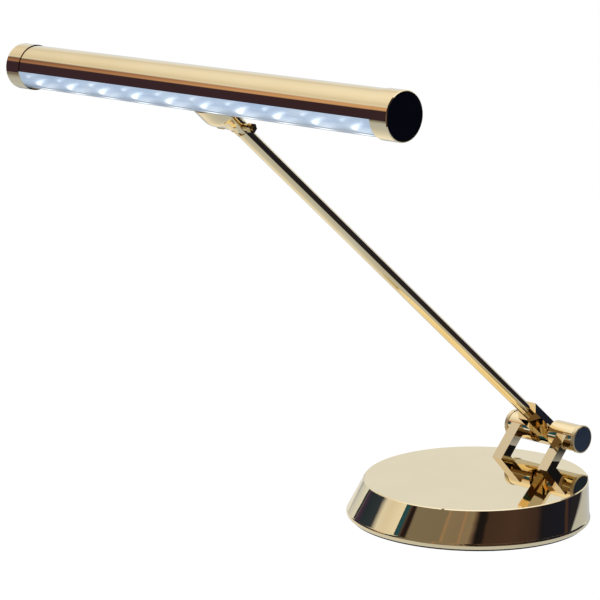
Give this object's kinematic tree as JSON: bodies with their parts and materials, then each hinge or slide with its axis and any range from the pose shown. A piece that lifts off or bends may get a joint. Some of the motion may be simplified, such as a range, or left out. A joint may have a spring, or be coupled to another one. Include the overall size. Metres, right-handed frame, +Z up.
{
  "type": "piano lamp",
  "caption": "Adjustable piano lamp: heavy round brass base, leaning bars with a cross tube, a swinging straight arm and a long tubular lit head with a clear front that tilts at the arm's end.",
  "frame": {"origin": "centre of the base's underside, on the surface the lamp stands on", "axes": "+Z up, +X along the head and the cross tube, -Y towards the side the head reaches out to"},
  "size_m": [0.3244, 0.3294, 0.3072],
  "materials": {
    "felt": "black felt",
    "brass_polished": "mirror-polished brass",
    "iron": "black-painted cast iron",
    "steel": "zinc-plated steel",
    "rubber": "matt black rubber",
    "plug_navy": "dark blue-black satin plastic",
    "brass_dark": "turned brass",
    "wire": "black insulated wire",
    "clear": "clear tube",
    "aluminium": "extruded aluminium",
    "board_white": "white solder mask",
    "led_lit": "lit cool-white emitters",
    "reflector": "bright white film",
    "disc_dark": "very dark navy gloss plastic",
    "holder": "grey plastic"
  },
  "bodies": {
    "base": {"base_pad": "felt", "base_shell": "brass_polished", "base_weight": "iron", "base_cover": "steel", "cover_screws": "steel", "cord_gland": "rubber", "bracket_bar_left": "brass_polished", "bracket_bar_right": "brass_polished", "bracket_screws": "steel", "pivot_tube": "brass_polished", "pivot_ring_left": "brass_polished", "pivot_ring_right": "brass_polished", "pivot_plug_left": "plug_navy", "pivot_plug_right": "plug_navy", "pivot_bush_left": "brass_dark", "pivot_bush_right": "brass_dark", "pivot_axle": "steel", "pivot_nut": "steel"},
    "arm": {"arm_hub": "brass_polished", "hub_setscrew": "steel", "arm_rod": "brass_polished", "arm_wire": "wire", "arm_tongue": "brass_dark"},
    "head": {"head_neck": "brass_polished", "tilt_nut": "brass_dark", "shade_tube": "brass_polished", "clear_tube": "clear", "led_heat_sink": "aluminium", "led_board": "board_white", "led_emitters": "led_lit", "head_reflector": "reflector", "end_cap_left": "brass_polished", "end_cap_right": "brass_polished", "cap_disc_left": "disc_dark", "cap_disc_right": "disc_dark", "tube_holder_left": "holder", "tube_holder_right": "holder", "tube_seal_left": "rubber", "tube_seal_right": "rubber"},
    "tilt_knob_body": {"tilt_screw": "steel", "tilt_knob": "brass_dark"}
  },
  "joints": [
    {"name": "arm_pivot", "type": "hinge", "parent": "base", "child": "arm", "pos_m": [0, 0.076, 0.0444], "axis": [1, 0, 0], "range_deg": [-45, 30]},
    {"name": "head_tilt", "type": "hinge", "parent": "arm", "child": "head", "pos_m": [0, -0.20054, 0.27018], "axis": [1, 0, 0], "range_deg": [-50, 50]},
    {"name": "knob_turn", "type": "hinge", "parent": "head", "child": "tilt_knob_body", "pos_m": [0, -0.20054, 0.27018], "axis": [1, 0, 0], "range_deg": [-180, 180]}
  ]
}
